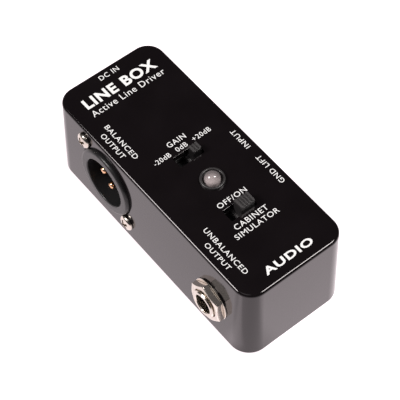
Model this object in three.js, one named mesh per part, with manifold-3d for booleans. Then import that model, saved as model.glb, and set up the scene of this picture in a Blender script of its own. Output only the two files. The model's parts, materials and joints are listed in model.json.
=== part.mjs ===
// A small active direct injection box: a drafted die-cast enclosure with a male three-pin output,
// two quarter-inch jacks, two slide switches, a ground lift button, a lamp and a supply socket.
// Millimetres. +X is the input side, +Y the supply socket's end, +Z up; the origin is the centre of
// the underside.
import * as THREE from "three";
import { mergeVertices } from "three/addons/utils/BufferGeometryUtils.js";
import Module from "manifold-3d";

const wasm = await Module();
wasm.setup();

// Driving dimensions

const DEGREE = Math.PI / 180;
const DRAFT = 1.65 * DEGREE; // lean of the four walls
const HEIGHT = 31.9; // underside to top face
const TOP = { width: 36.9, length: 91.75, radius: 5.9 }; // outline where the walls meet the top face
const TOP_FILLET = 0.95;
const FOOT_FILLET = 0.35;
const WALL = 2;
const ROOF = HEIGHT - WALL; // underside of the top wall

const PLATE = { thickness: 1.5, lip: 1, gap: 0.15 };
const POST = { x: 13.8, y: 41.2, radius: 3.4, hole: 1.55, depth: 11 };
const BOARD = { bottom: 23.4, top: 25, halfWidth: 15.8, front: -37.2, back: 6.6 };

const XLR = { y: 20.2, z: 16.9, ring: 11.6, bore: 8.4, proud: 1.25, pitch: 3.81, pin: 1.2, screw: 10.2 };
const OUTPUT = { y: -30.5, z: 14.8 };
const INPUT = { y: -1.3, z: 14.8 };
const JACK = { bore: 3.2, thread: 4.6, proud: 3.6, washer: 0.6, nut: 2.8, flats: 12, turn: 10 * DEGREE };
const LIFT = { y: -15.1, z: 19, travel: 2.5, cap: 2.45 };
const SUPPLY = { z: 16, nose: 5, bore: 2.95, pin: 1 };
const LAMP = { y: -7.4, lens: 2.5, flange: 3.9, dome: 2.9 };

// One record for each slide switch: where it is, its slot, its lever and how far the lever goes.
const GAIN = { y: 3.75, slot: [8.9, 4], lever: [2.9, 2.6], height: 2.4, travel: 4.7, ribs: 2 };
const CABINET = { y: -19.9, slot: [9.4, 4.35], lever: [4.9, 3.6], height: 2.8, travel: 3.2, ribs: 4 };

const FINISHES = {
  paint: { color: 0x141214, roughness: 0.25, metalness: 0.4 },
  plate: { color: 0x1a1a1c, roughness: 0.4, metalness: 0.4 },
  blackPlastic: { color: 0x1c1b1c, roughness: 0.45, metalness: 0 },
  greyPlastic: { color: 0x4a4849, roughness: 0.5, metalness: 0 },
  nickel: { color: 0xc9c2b8, roughness: 0.25, metalness: 1 },
  gold: { color: 0xd8a860, roughness: 0.25, metalness: 1 },
  steel: { color: 0x9a9a9c, roughness: 0.4, metalness: 1 },
  lens: { color: 0xe8e4e4, roughness: 0.25, metalness: 0 },
  board: { color: 0x1f5a35, roughness: 0.55, metalness: 0 },
  sleeve: { color: 0x27407a, roughness: 0.4, metalness: 0 },
  film: { color: 0xa8323a, roughness: 0.45, metalness: 0 },
  wire: { color: 0xb8b4ac, roughness: 0.6, metalness: 0 },
};

// Half-width and half-length of the outside at height z.
const halfWidth = (z) => TOP.width / 2 + (HEIGHT - z) * Math.tan(DRAFT);
const halfLength = (z) => TOP.length / 2 + (HEIGHT - z) * Math.tan(DRAFT);

// Solids and meshes

// A closed geometry as a solid that can be joined and cut.
function solidOf(geometry) {
  const bare = new THREE.BufferGeometry();
  bare.setAttribute("position", geometry.getAttribute("position"));
  bare.setIndex(geometry.getIndex());
  const merged = mergeVertices(bare, 1e-4);
  return new wasm.Manifold(
    new wasm.Mesh({
      numProp: 3,
      vertProperties: merged.getAttribute("position").array,
      triVerts: new Uint32Array(merged.getIndex().array),
    }),
  );
}

function geometryOf(solid) {
  const mesh = solid.getMesh();
  const geometry = new THREE.BufferGeometry();
  geometry.setAttribute("position", new THREE.BufferAttribute(mesh.vertProperties, 3));
  geometry.setIndex(new THREE.BufferAttribute(mesh.triVerts, 1));
  return geometry;
}

// Joins the first geometry with the added ones, then cuts the others away.
function shape(first, added, cut = []) {
  let solid = solidOf(first);
  for (const piece of added) {
    solid = solid.add(solidOf(piece));
  }
  for (const piece of cut) {
    solid = solid.subtract(solidOf(piece));
  }
  return geometryOf(solid);
}

function mesh(name, geometry, finish) {
  geometry.computeVertexNormals();
  const made = new THREE.Mesh(geometry, new THREE.MeshStandardMaterial(FINISHES[finish]));
  made.name = name;
  return made;
}

// Basic shapes, all along or around +Z

// A box between two corners.
function block([x0, y0, z0], [x1, y1, z1]) {
  const box = new THREE.BoxGeometry(x1 - x0, y1 - y0, z1 - z0);
  return box.translate((x0 + x1) / 2, (y0 + y1) / 2, (z0 + z1) / 2);
}

// A round bar centred on (x, y) from z0 to z1.
function bar(radius, z0, z1, x = 0, y = 0, sides = 24) {
  const cylinder = new THREE.CylinderGeometry(radius, radius, z1 - z0, sides);
  return cylinder.rotateX(Math.PI / 2).translate(x, y, (z0 + z1) / 2);
}

// A turned piece from (radius, height) pairs that go up the outside, and down the inside of a ring.
function turned(profile, sides = 24) {
  const points = profile.map(([radius, height]) => new THREE.Vector2(radius, height));
  return new THREE.LatheGeometry(points, sides).rotateX(Math.PI / 2);
}

// Points of a quarter circle in a profile, from angle a to angle b in degrees.
function arc(centreRadius, centreHeight, radius, a, b, steps = 4) {
  return Array.from({ length: steps + 1 }, (_, i) => {
    const angle = (a + ((b - a) * i) / steps) * DEGREE;
    return [centreRadius + radius * Math.cos(angle), centreHeight + radius * Math.sin(angle)];
  });
}

// The corners of a rounded rectangle, anticlockwise, at height z.
function roundedLoop(halfX, halfY, radius, z, steps = 6) {
  const corners = [
    [1, 1],
    [-1, 1],
    [-1, -1],
    [1, -1],
  ];
  return corners.flatMap(([signX, signY], quarter) =>
    Array.from({ length: steps + 1 }, (_, i) => {
      const angle = (quarter + i / steps) * (Math.PI / 2);
      const x = signX * (halfX - radius) + radius * Math.cos(angle);
      const y = signY * (halfY - radius) + radius * Math.sin(angle);
      return new THREE.Vector3(x, y, z);
    }),
  );
}

// A closed solid through loops of equal length, stacked upwards.
function lofted(loops) {
  const count = loops[0].length;
  const last = (loops.length - 1) * count;
  const index = [];
  for (let row = 0; row < loops.length - 1; row++) {
    for (let i = 0; i < count; i++) {
      const here = row * count + i;
      const next = row * count + ((i + 1) % count);
      index.push(here, next, next + count, here, next + count, here + count);
    }
  }
  for (let i = 1; i < count - 1; i++) {
    index.push(0, i + 1, i, last, last + i, last + i + 1);
  }
  const geometry = new THREE.BufferGeometry().setFromPoints(loops.flat());
  return geometry.setIndex(index);
}

// The enclosure's outline at height z, moved inwards by inset.
function outline(z, inset) {
  const radius = TOP.radius + (HEIGHT - z) * Math.tan(DRAFT) - inset;
  return roundedLoop(halfWidth(z) - inset, halfLength(z) - inset, radius, z);
}

// Frames on the walls

// A group whose +Z leaves the wall, +Y runs up it and origin lies on its outer face.
function wallGroup(side, y, z) {
  const out = new THREE.Vector3(side * Math.cos(DRAFT), 0, Math.sin(DRAFT));
  const up = new THREE.Vector3(-side * Math.sin(DRAFT), 0, Math.cos(DRAFT));
  const across = new THREE.Vector3().crossVectors(up, out);
  const group = new THREE.Group();
  group.quaternion.setFromRotationMatrix(new THREE.Matrix4().makeBasis(across, up, out));
  group.position.set(side * halfWidth(z), y, z);
  group.updateMatrix();
  return group;
}

// The level group of a piece on the right wall or the back wall: +Z leaves the wall, +Y is up.
function levelGroup(out, x, y, z) {
  const up = new THREE.Vector3(0, 0, 1);
  const across = new THREE.Vector3().crossVectors(up, out);
  const group = new THREE.Group();
  group.quaternion.setFromRotationMatrix(new THREE.Matrix4().makeBasis(across, up, out));
  group.position.set(x, y, z);
  group.updateMatrix();
  return group;
}

const xlrGroup = wallGroup(-1, XLR.y, XLR.z);
const outputGroup = wallGroup(-1, OUTPUT.y, OUTPUT.z);
const inputGroup = wallGroup(1, INPUT.y, INPUT.z);
const liftGroup = levelGroup(new THREE.Vector3(1, 0, 0), halfWidth(LIFT.z), LIFT.y, LIFT.z);
const supplyGroup = levelGroup(new THREE.Vector3(0, 1, 0), 0, halfLength(SUPPLY.z), SUPPLY.z);

// A geometry made in a group's frame, moved to where the group puts it.
const placed = (geometry, group) => geometry.applyMatrix4(group.matrix);

// Enclosure

const postPlaces = [
  [-1, -1],
  [1, -1],
  [1, 1],
  [-1, 1],
].map(([signX, signY]) => [signX * POST.x, signY * POST.y]);

const xlrScrewPlaces = [
  [-XLR.screw, XLR.screw],
  [XLR.screw, -XLR.screw],
];

function enclosure() {
  const skin = [0, 30, 60, 90].map((angle) => {
    const inset = FOOT_FILLET * (1 - Math.sin(angle * DEGREE));
    return outline(FOOT_FILLET * (1 - Math.cos(angle * DEGREE)), inset);
  });
  for (let angle = 0; angle <= 90; angle += 22.5) {
    const inset = TOP_FILLET * (1 - Math.cos(angle * DEGREE));
    skin.push(outline(HEIGHT - TOP_FILLET * (1 - Math.sin(angle * DEGREE)), inset));
  }
  const hollow = lofted([outline(-1, WALL), outline(ROOF, WALL)]);
  const rebate = lofted([outline(-1, PLATE.lip), outline(PLATE.thickness, PLATE.lip)]);
  const posts = postPlaces.map(([x, y]) => bar(POST.radius, PLATE.thickness, ROOF + 0.5, x, y));
  const shell = shape(lofted(skin), [], [hollow]);
  const through = -2 * WALL; // depth of a hole that goes right through a wall
  const out = 3;
  const holes = postPlaces.map(([x, y]) => bar(POST.hole, -1, POST.depth, x, y, 12));
  holes.push(placed(bar(XLR.ring + 0.25, through, out, 0, 0, 40), xlrGroup));
  for (const [x, y] of xlrScrewPlaces) {
    holes.push(placed(bar(1.65, through, out, x, y, 12), xlrGroup));
  }
  holes.push(placed(bar(JACK.thread + 0.25, through, out), outputGroup));
  holes.push(placed(bar(JACK.thread + 0.25, through, out), inputGroup));
  holes.push(placed(bar(LIFT.cap + 0.3, through, out), liftGroup));
  holes.push(placed(bar(SUPPLY.nose + 0.25, through, out), supplyGroup));
  holes.push(bar(LAMP.lens + 0.75, ROOF - 1, HEIGHT + 1, 0, LAMP.y));
  for (const { y, slot } of [GAIN, CABINET]) {
    const [length, width] = slot;
    holes.push(block([-length / 2, y - width / 2, ROOF - 1], [length / 2, y + width / 2, HEIGHT + 1]));
  }
  return mesh("enclosure", shape(shell, posts, [rebate, ...holes]), "paint");
}

function bottomPlate() {
  const inset = PLATE.lip + PLATE.gap;
  const slab = lofted([outline(0, inset), outline(PLATE.thickness, inset + 0.04)]);
  const holes = postPlaces.map(([x, y]) =>
    turned(
      [
        [0, -0.5],
        [3.3, -0.5],
        [3.3, 0],
        [1.75, 1.55],
        [1.75, 2],
        [0, 2],
      ],
      16,
    ).translate(x, y, 0),
  );
  return mesh("bottom_plate", shape(slab, [], holes), "plate");
}

// A countersunk screw with a cross recess, its head just inside the plate's underside.
function bottomScrew(number, x, y) {
  const body = turned(
    [
      [0, 0.1],
      [2.9, 0.1],
      [1.35, 1.65],
      [1.35, 8.5],
      [0.7, 9.3],
      [0, 9.3],
    ],
    12,
  );
  const recess = [
    block([-1.5, -0.3, -1], [1.5, 0.3, 0.9]),
    block([-0.3, -1.5, -1], [0.3, 1.5, 0.9]),
  ];
  return mesh(`bottom_screw_${number}`, shape(body, [], recess).translate(x, y, 0), "steel");
}

// Slide switches

const SWITCH = { halfLength: 6.2, halfWidth: 3.1, skin: 0.4, top: ROOF - 0.2, base: BOARD.top + 1.5 };

function switchFrame(name, { y, slot }) {
  const { halfLength: l, halfWidth: w, skin, top, base } = SWITCH;
  const outer = block([-l, y - w, base - 0.6], [l, y + w, top]);
  const room = block([-l + skin, y - w + skin, base - 2], [l - skin, y + w - skin, top - skin]);
  const mouth = block(
    [-slot[0] / 2, y - slot[1] / 2 - 0.05, base],
    [slot[0] / 2, y + slot[1] / 2 + 0.05, top + 1],
  );
  return mesh(name, shape(outer, [], [room, mouth]), "steel");
}

function switchBase(name, { y }) {
  const { halfLength: l, halfWidth: w, skin, base } = SWITCH;
  const gap = skin + 0.1;
  const foot = block([-l, y - w, BOARD.top], [l, y + w, base - 0.7]);
  const step = block([-l + gap, y - w + gap, base - 1], [l - gap, y + w - gap, base]);
  return mesh(name, shape(foot, [step]), "blackPlastic");
}

// The lever stands at the right-hand end of its slot. Grooves across its top give a grip.
function switchLever(name, { y, lever, height, travel, ribs }) {
  const [length, width] = lever;
  const top = HEIGHT + height;
  const shoe = block(
    [-length / 2 - 0.6, y - SWITCH.halfWidth + 0.6, SWITCH.base + 0.1],
    [length / 2 + 0.6, y + SWITCH.halfWidth - 0.6, SWITCH.top - SWITCH.skin - 0.1],
  );
  const stem = block([-length / 2, y - width / 2, SWITCH.base + 1], [length / 2, y + width / 2, top]);
  const pitch = length / (ribs + 1);
  const grooves = Array.from({ length: ribs }, (_, i) => {
    const x = -length / 2 + pitch * (i + 1);
    return block([x - pitch / 4, y - width, top - 0.5], [x + pitch / 4, y + width, top + 1]);
  });
  return mesh(name, shape(shoe, [stem], grooves).translate(travel / 2, 0, 0), "blackPlastic");
}

// Lamp

function lampBezel() {
  const { lens, flange } = LAMP;
  const ring = turned([
    [lens + 0.2, ROOF - 1.4],
    [lens + 0.6, ROOF - 1.4],
    [lens + 0.6, HEIGHT],
    [flange, HEIGHT],
    ...arc(flange - 0.4, HEIGHT + 0.5, 0.4, 0, 90, 2),
    [lens + 0.75, HEIGHT + 0.9],
    [lens + 0.6, HEIGHT + 0.2],
    [lens + 0.2, HEIGHT - 0.2],
    [lens + 0.2, ROOF - 1.4],
  ]);
  return mesh("led_bezel", ring.translate(0, LAMP.y, 0), "blackPlastic");
}

const LAMP_FOOT = BOARD.top + 0.9;

function lampLens() {
  const { lens, dome } = LAMP;
  const body = turned([
    [0, LAMP_FOOT],
    [lens + 0.4, LAMP_FOOT],
    [lens + 0.4, LAMP_FOOT + 1],
    [lens, LAMP_FOOT + 1],
    ...arc(0, HEIGHT + dome - lens, lens, 0, 72, 4),
    [0, HEIGHT + dome],
  ]);
  return mesh("led_lens", body.translate(0, LAMP.y, 0), "lens");
}

const lampLeadPlaces = { led_lead_anode: 1.27, led_lead_cathode: -1.27 };

function lampLead(name, x) {
  const half = 0.25;
  const lead = block(
    [x - half, LAMP.y - half, BOARD.bottom - 1],
    [x + half, LAMP.y + half, LAMP_FOOT - 0.1],
  );
  return mesh(name, lead, "steel");
}

// Male three-pin output, in the frame of the left wall

const XLR_DEPTH = { flange: -5, insert: -15, insertBack: -18.9, back: -22, terminal: -24.5 };
const xlrPinPlaces = [
  [XLR.pitch, 0],
  [-XLR.pitch, 0],
  [0, -XLR.pitch],
];

function xlrHousing() {
  const { ring, bore, proud } = XLR;
  const { flange, insertBack, back } = XLR_DEPTH;
  const barrel = turned(
    [
      [0, back],
      [ring, back],
      ...arc(ring - 0.5, proud - 0.5, 0.5, 0, 90, 3),
      [0, proud],
    ],
    40,
  );
  const plate = block([-12.5, -12.6, flange], [12.5, 12.6, -WALL - 0.3]);
  const cavity = turned(
    [
      [0, insertBack - 0.1],
      [bore, insertBack - 0.1],
      [bore, proud - 0.4],
      [bore + 0.5, proud + 0.1],
      [0, proud + 0.1],
    ],
    40,
  );
  const rear = bar(bore - 1, back - 1, insertBack);
  const key = block([-1, bore - 1, -14], [1, bore + 1, -0.6]);
  const screwHoles = xlrScrewPlaces.map(([x, y]) => bar(1.65, flange - 1, 0, x, y, 16));
  const hollow = shape(barrel, [plate], [cavity, rear, ...screwHoles]);
  return mesh("xlr_housing", shape(hollow, [key]), "blackPlastic");
}

function xlrInsert() {
  const { insert, insertBack } = XLR_DEPTH;
  const disc = bar(XLR.bore - 0.15, insertBack, insert, 0, 0, 32);
  const holes = xlrPinPlaces.map(([x, y]) => bar(XLR.pin + 0.2, insertBack - 1, insert + 1, x, y, 12));
  return mesh("xlr_insert", shape(disc, [], holes), "blackPlastic");
}

function xlrPin(number, [x, y]) {
  const tip = -1;
  const pin = turned(
    [
      [0, XLR_DEPTH.terminal],
      [XLR.pin, XLR_DEPTH.terminal],
      [XLR.pin, tip - 1],
      ...arc(XLR.pin - 0.8, tip - 0.8, 0.8, 0, 90, 3),
      [0, tip],
    ],
    12,
  );
  return mesh(`xlr_pin_${number}`, pin.translate(x, y, 0), "gold");
}

// A pan-head screw with a cross recess, its head on the wall.
function xlrScrew(number, [x, y]) {
  const [head, height, seat] = [2.65, 1.7, 0.05];
  const body = turned(
    [
      [0, -7],
      [1.4, -7],
      [1.4, seat],
      [head, seat],
      [head, seat + 0.6],
      [head - 0.3, seat + 1.15],
      [head - 1.1, height],
      [0, height],
    ],
    20,
  );
  const recess = [
    block([-1.5, -0.35, 0.5], [1.5, 0.35, 3]),
    block([-0.35, -1.5, 0.5], [0.35, 1.5, 3]),
  ];
  const geometry = shape(body, [], recess).rotateZ(35 * DEGREE).translate(x, y, 0);
  return mesh(`xlr_screw_${number}`, geometry, "nickel");
}

// Quarter-inch jack, in the frame of its wall

const JACK_BODY = { half: 6.8, low: -6.6, high: 6.4, front: -WALL - 0.3, back: -24.5, seat: -5.1 };
const SPRING = { tip: -20.8, sleeve: -12, width: 1.6, gauge: 0.4, reach: 5 };

function jackBody(name) {
  const { half, low, high, front, back, seat } = JACK_BODY;
  const box = block([-half, low, back], [half, high, front]);
  const bore = bar(JACK.bore + 0.3, back + 2.5, front + 1, 0, 0, 24);
  const recess = bar(JACK.thread + 0.2, seat, front + 1);
  const slots = [SPRING.tip, SPRING.sleeve].map((d) =>
    block([-1.2, 1, d - 0.6], [1.2, high + 1, d + SPRING.reach + 0.3]),
  );
  return mesh(name, shape(box, [], [bore, recess, ...slots]), "blackPlastic");
}

function jackBushing(name) {
  const { bore, thread, proud } = JACK;
  const tube = turned([
    [bore, JACK_BODY.seat + 0.1],
    [thread, JACK_BODY.seat + 0.1],
    [thread, proud - 0.35],
    [thread - 0.35, proud],
    [bore + 0.35, proud],
    [bore, proud - 0.35],
    [bore, JACK_BODY.seat + 0.1],
  ]);
  return mesh(name, tube, "nickel");
}

function jackWasher(name) {
  const [inner, outer, seat] = [JACK.thread + 0.15, 7, 0.05];
  const ring = turned([
    [inner, seat],
    [outer, seat],
    [outer, JACK.washer - 0.05],
    [inner, JACK.washer - 0.05],
    [inner, seat],
  ]);
  return mesh(name, ring, "nickel");
}

// A hexagon nut with its outer corners chamfered.
function jackNut(name) {
  const { thread, washer, nut, flats, turn } = JACK;
  const corner = flats / Math.sqrt(3);
  const prism = bar(corner, washer, nut, 0, 0, 6).rotateZ(turn);
  const blank = turned([
    [0, washer],
    [corner + 0.1, washer],
    [corner + 0.1, nut - 0.65],
    [flats / 2 - 0.1, nut],
    [0, nut],
  ]);
  const hole = bar(thread + 0.15, washer - 1, nut + 1);
  const solid = solidOf(prism).intersect(solidOf(blank)).subtract(solidOf(hole));
  return mesh(name, geometryOf(solid), "nickel");
}

// A bent leaf: its terminal rises to the board, its other end dips into the bore.
function jackSpring(name, d) {
  const { gauge, width, reach } = SPRING;
  const crown = JACK.bore + 0.9;
  const contact = JACK.bore - 0.6;
  const leaf = new THREE.Shape([
    new THREE.Vector2(d, 10.4),
    new THREE.Vector2(d, crown),
    new THREE.Vector2(d + reach * 0.6, contact),
    new THREE.Vector2(d + reach, crown),
    new THREE.Vector2(d + reach, crown + gauge),
    new THREE.Vector2(d + reach * 0.6, contact + gauge),
    new THREE.Vector2(d + gauge, crown + gauge * 1.3),
    new THREE.Vector2(d + gauge, 10.4),
  ]);
  const strip = new THREE.ExtrudeGeometry(leaf, { depth: width, bevelEnabled: false });
  strip.translate(0, 0, -width / 2).rotateY(-Math.PI / 2);
  return mesh(name, strip, "nickel");
}

function fillJack(group, prefix) {
  group.add(jackBody(`${prefix}_body`));
  group.add(jackBushing(`${prefix}_bushing`));
  group.add(jackWasher(`${prefix}_washer`));
  group.add(jackNut(`${prefix}_nut`));
  group.add(jackSpring(`${prefix}_tip_spring`, SPRING.tip));
  group.add(jackSpring(`${prefix}_sleeve_spring`, SPRING.sleeve));
  return group;
}

// Ground lift push button, in the frame of the right wall

const LIFT_BODY = { front: -4.5, back: -15.2, half: 3.5 };
const liftPinPlaces = [-12.4, -7.4].flatMap((d) => [-2.54, 2.54].map((across) => [across, d]));

function liftSwitch() {
  const { front, back, half } = LIFT_BODY;
  const box = block([-half, -half, back], [half, half, front]);
  const rise = BOARD.top + 0.3 - LIFT.z;
  const pins = liftPinPlaces.map(([x, d]) => block([x - 0.4, half - 1, d - 0.25], [x + 0.4, rise, d + 0.25]));
  const socket = block([-1.6, -1.6, back + 2.4], [1.6, 1.6, front + 1]);
  return mesh("ground_lift_switch_body", shape(box, pins, [socket]), "blackPlastic");
}

function liftButton() {
  const { cap } = LIFT;
  const seat = LIFT_BODY.front + LIFT.travel + 0.2;
  const front = 3.1;
  const head = turned([
    [0, seat],
    [cap, seat],
    ...arc(cap - 0.5, front - 0.5, 0.5, 0, 90, 3),
    [0, front],
  ]);
  const stem = block([-1.4, -1.4, LIFT_BODY.back + 5.2], [1.4, 1.4, seat + 0.5]);
  return mesh("ground_lift_button", shape(head, [stem]), "blackPlastic");
}

// Supply socket, in the frame of the back wall

const SOCKET = { half: 4.9, tall: 5.5, front: -WALL - 0.4, back: -12, floor: -10 };

function supplySocket() {
  const { half, tall, front, back, floor } = SOCKET;
  const box = block([-half, -tall, back], [half, tall, front]);
  const nose = turned(
    [
      [0, front - 1],
      [SUPPLY.nose, front - 1],
      [SUPPLY.nose, -0.35],
      [SUPPLY.nose - 0.3, -0.05],
      [0, -0.05],
    ],
    32,
  );
  const bore = bar(SUPPLY.bore, floor, 1);
  const pinHole = bar(SUPPLY.pin + 0.15, back - 1, floor + 1, 0, 0, 12);
  const slot = block([-half - 1, -1.3, floor + 0.5], [-2.2, 1.3, floor + 6.6]);
  return mesh("dc_jack_body", shape(box, [nose], [bore, pinHole, slot]), "blackPlastic");
}

function supplyPin() {
  const tip = -1.3;
  const pin = turned(
    [
      [0, SOCKET.back - 0.6],
      [SUPPLY.pin, SOCKET.back - 0.6],
      [SUPPLY.pin, tip - 0.5],
      [SUPPLY.pin - 0.4, tip],
      [0, tip],
    ],
    12,
  );
  return mesh("dc_jack_pin", pin, "nickel");
}

// A leaf along the bore's side, with its solder tag outside the body.
function supplySpring() {
  const gauge = 0.35;
  const [foot, contact, seat] = [SOCKET.floor + 1, SUPPLY.bore - 0.4, SUPPLY.bore + 0.7];
  const tag = SOCKET.half + 0.9;
  const leaf = new THREE.Shape([
    new THREE.Vector2(foot, tag),
    new THREE.Vector2(foot, seat),
    new THREE.Vector2(foot + 3, contact),
    new THREE.Vector2(foot + 5, seat),
    new THREE.Vector2(foot + 5, seat + gauge),
    new THREE.Vector2(foot + 3, contact + gauge),
    new THREE.Vector2(foot + gauge, seat + gauge),
    new THREE.Vector2(foot + gauge, tag),
  ]);
  const strip = new THREE.ExtrudeGeometry(leaf, { depth: 2, bevelEnabled: false });
  strip.translate(0, 0, -1).rotateY(-Math.PI / 2).rotateZ(Math.PI / 2);
  return mesh("dc_jack_spring", strip, "nickel");
}

// Circuit board and what it carries

function mainBoard() {
  const { bottom, top, halfWidth: half, front, back } = BOARD;
  const slab = block([-half, front, bottom], [half, back, top]);
  const holes = [];
  const drill = (x, y, radius) => holes.push(bar(radius, bottom - 1, top + 1, x, y, 10));
  for (const group of [outputGroup, inputGroup]) {
    for (const d of [SPRING.tip, SPRING.sleeve]) {
      const terminal = new THREE.Vector3(0, 8.7, d + SPRING.gauge / 2).applyMatrix4(group.matrix);
      drill(terminal.x, terminal.y, 1.2);
    }
  }
  for (const [across, d] of liftPinPlaces) {
    drill(liftGroup.position.x + d, LIFT.y + across, 0.7);
  }
  for (const x of Object.values(lampLeadPlaces)) {
    drill(x, LAMP.y, 0.6);
  }
  return mesh("main_board", shape(slab, [], holes), "board");
}

// An eight-leg amplifier, its length along Y.
function amplifier(name, x, y) {
  const [halfX, halfY, low, high] = [3.2, 4.9, BOARD.top + 0.5, BOARD.top + 3.6];
  const body = block([-halfX, -halfY, low], [halfX, halfY, high]);
  const legs = [-3.81, -1.27, 1.27, 3.81].flatMap((along) =>
    [-1, 1].map((side) =>
      block(
        [side * 3.5 - 0.4, along - 0.3, BOARD.top + 0.05],
        [side * 3.5 + 0.4, along + 0.3, low + 1.4],
      ),
    ),
  );
  const dot = bar(0.6, high - 0.3, high + 1, -1.9, 3.6, 10);
  return mesh(name, shape(body, legs, [dot]).translate(x, y, 0), "blackPlastic");
}

// An electrolytic capacitor that hangs under the board.
function electrolytic(name, x, y) {
  const [radius, top, length] = [3.15, BOARD.bottom - 0.1, 8.4];
  const can = [
    [0, top - length],
    [radius - 0.3, top - length],
    [radius, top - length + 0.3],
    [radius, top - 2],
    [radius - 0.3, top - 1.6],
    [radius, top - 1.2],
    [radius, top],
    [0, top],
  ];
  return mesh(name, turned(can, 16).translate(x, y, 0), "sleeve");
}

function filmCapacitor(name, x, y) {
  const round = { depth: 2, bevelEnabled: true, bevelThickness: 0.3, bevelSize: 0.3, bevelSegments: 1 };
  const face = new THREE.Shape([
    new THREE.Vector2(-3.3, 0.3),
    new THREE.Vector2(3.3, 0.3),
    new THREE.Vector2(3.3, 3.9),
    new THREE.Vector2(-3.3, 3.9),
  ]);
  const box = new THREE.ExtrudeGeometry(face, round).translate(0, 0, -1).rotateX(Math.PI / 2);
  return mesh(name, box.rotateZ(Math.PI / 2).translate(x, y, BOARD.top + 0.05), "film");
}

// Wires: three from the output's pins and two from the supply socket, all to the board's back edge.
const WIRE_RADIUS = 0.55;
const wireRoutes = {
  output_wire_1: [
    [6.3, 16.4, 16.2],
    [8, 15.6, 17],
    [8.8, 12, 21],
    [8.3, 8.6, 25.6],
    [8.2, 6, 26.8],
    [8.2, 4.9, 25.7],
  ],
  output_wire_2: [
    [6.3, 24, 16.2],
    [9, 23.6, 16.6],
    [10.9, 17, 20],
    [10.2, 9, 25.6],
    [9.9, 6, 26.8],
    [9.9, 4.9, 25.7],
  ],
  output_wire_3: [
    [6.3, 20.2, 12.4],
    [8.6, 19.6, 12.6],
    [12, 14, 18],
    [11.9, 9, 25.6],
    [11.6, 6, 26.8],
    [11.6, 4.9, 25.7],
  ],
  supply_wire_1: [
    [6.5, 37.1, 16],
    [9, 36.4, 15.7],
    [13.2, 30.5, 15],
    [14, 18, 18.5],
    [13.7, 9, 25.4],
    [13.3, 6, 26.8],
    [13.3, 4.9, 25.7],
  ],
  supply_wire_2: [
    [0.6, 33.05, 16],
    [4, 33, 16.6],
    [9.5, 32.6, 19],
    [15, 26, 20],
    [15.5, 15, 21.5],
    [15.2, 9, 25.4],
    [14.9, 6, 26.8],
    [14.9, 4.9, 25.7],
  ],
};

function wire(name, route) {
  const path = new THREE.CatmullRomCurve3(route.map((point) => new THREE.Vector3(...point)));
  const section = new THREE.Shape().absarc(0, 0, WIRE_RADIUS, 0, 2 * Math.PI);
  const options = { steps: 14, curveSegments: 3, extrudePath: path };
  return mesh(name, new THREE.ExtrudeGeometry(section, options), "wire");
}

// Assembly

const box = new THREE.Group();
box.add(enclosure(), bottomPlate());
postPlaces.forEach(([x, y], i) => box.add(bottomScrew(i + 1, x, y)));

for (const [name, settings] of Object.entries({ gain: GAIN, cabinet: CABINET })) {
  box.add(switchFrame(`${name}_switch_frame`, settings));
  box.add(switchBase(`${name}_switch_base`, settings));
  box.add(switchLever(`${name}_lever`, settings));
}

box.add(lampBezel(), lampLens());
Object.entries(lampLeadPlaces).forEach(([name, x]) => box.add(lampLead(name, x)));

xlrGroup.add(xlrHousing(), xlrInsert());
xlrPinPlaces.forEach((place, i) => xlrGroup.add(xlrPin(i + 1, place)));
xlrScrewPlaces.forEach((place, i) => xlrGroup.add(xlrScrew(i + 1, place)));
liftGroup.add(liftSwitch(), liftButton());
supplyGroup.add(supplySocket(), supplyPin(), supplySpring());
fillJack(outputGroup, "output_jack");
fillJack(inputGroup, "input_jack");
box.add(xlrGroup, outputGroup, inputGroup, liftGroup, supplyGroup);

box.add(mainBoard());
box.add(amplifier("op_amp_1", -11, -8), amplifier("op_amp_2", 11.4, -6.9));
box.add(electrolytic("electrolytic_capacitor_1", -11.5, -18.5));
box.add(electrolytic("electrolytic_capacitor_2", -4, -18.5));
box.add(electrolytic("electrolytic_capacitor_3", -12, -11.2));
box.add(filmCapacitor("film_capacitor_1", -11.5, -22), filmCapacitor("film_capacitor_2", 11.5, -26));
Object.entries(wireRoutes).forEach(([name, route]) => box.add(wire(name, route)));

export default box;
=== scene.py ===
import json
import math

import bpy
from mathutils import Matrix, Vector


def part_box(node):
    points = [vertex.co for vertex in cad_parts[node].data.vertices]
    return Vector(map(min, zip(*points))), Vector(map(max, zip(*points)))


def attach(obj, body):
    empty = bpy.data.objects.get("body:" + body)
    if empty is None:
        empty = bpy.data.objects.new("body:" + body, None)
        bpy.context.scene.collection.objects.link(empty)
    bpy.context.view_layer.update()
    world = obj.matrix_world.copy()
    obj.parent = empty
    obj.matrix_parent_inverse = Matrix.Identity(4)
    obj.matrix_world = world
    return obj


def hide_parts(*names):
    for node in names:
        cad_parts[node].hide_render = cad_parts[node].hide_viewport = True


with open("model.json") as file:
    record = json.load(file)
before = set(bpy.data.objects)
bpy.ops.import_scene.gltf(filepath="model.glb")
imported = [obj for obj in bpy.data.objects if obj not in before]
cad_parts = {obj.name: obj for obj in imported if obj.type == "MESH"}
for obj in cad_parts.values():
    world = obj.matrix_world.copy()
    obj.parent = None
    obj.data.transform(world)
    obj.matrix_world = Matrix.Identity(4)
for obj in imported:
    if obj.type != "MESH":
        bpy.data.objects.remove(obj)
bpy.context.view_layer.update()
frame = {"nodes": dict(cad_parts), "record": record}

mm = 0.001
draft = math.radians(1.65)  # lean of the four walls, as on the CAD shell
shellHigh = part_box("enclosure")[1]
topZ = shellHigh.z
print("frame loaded,", len(frame["nodes"]), "nodes")


# shader maths

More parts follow.
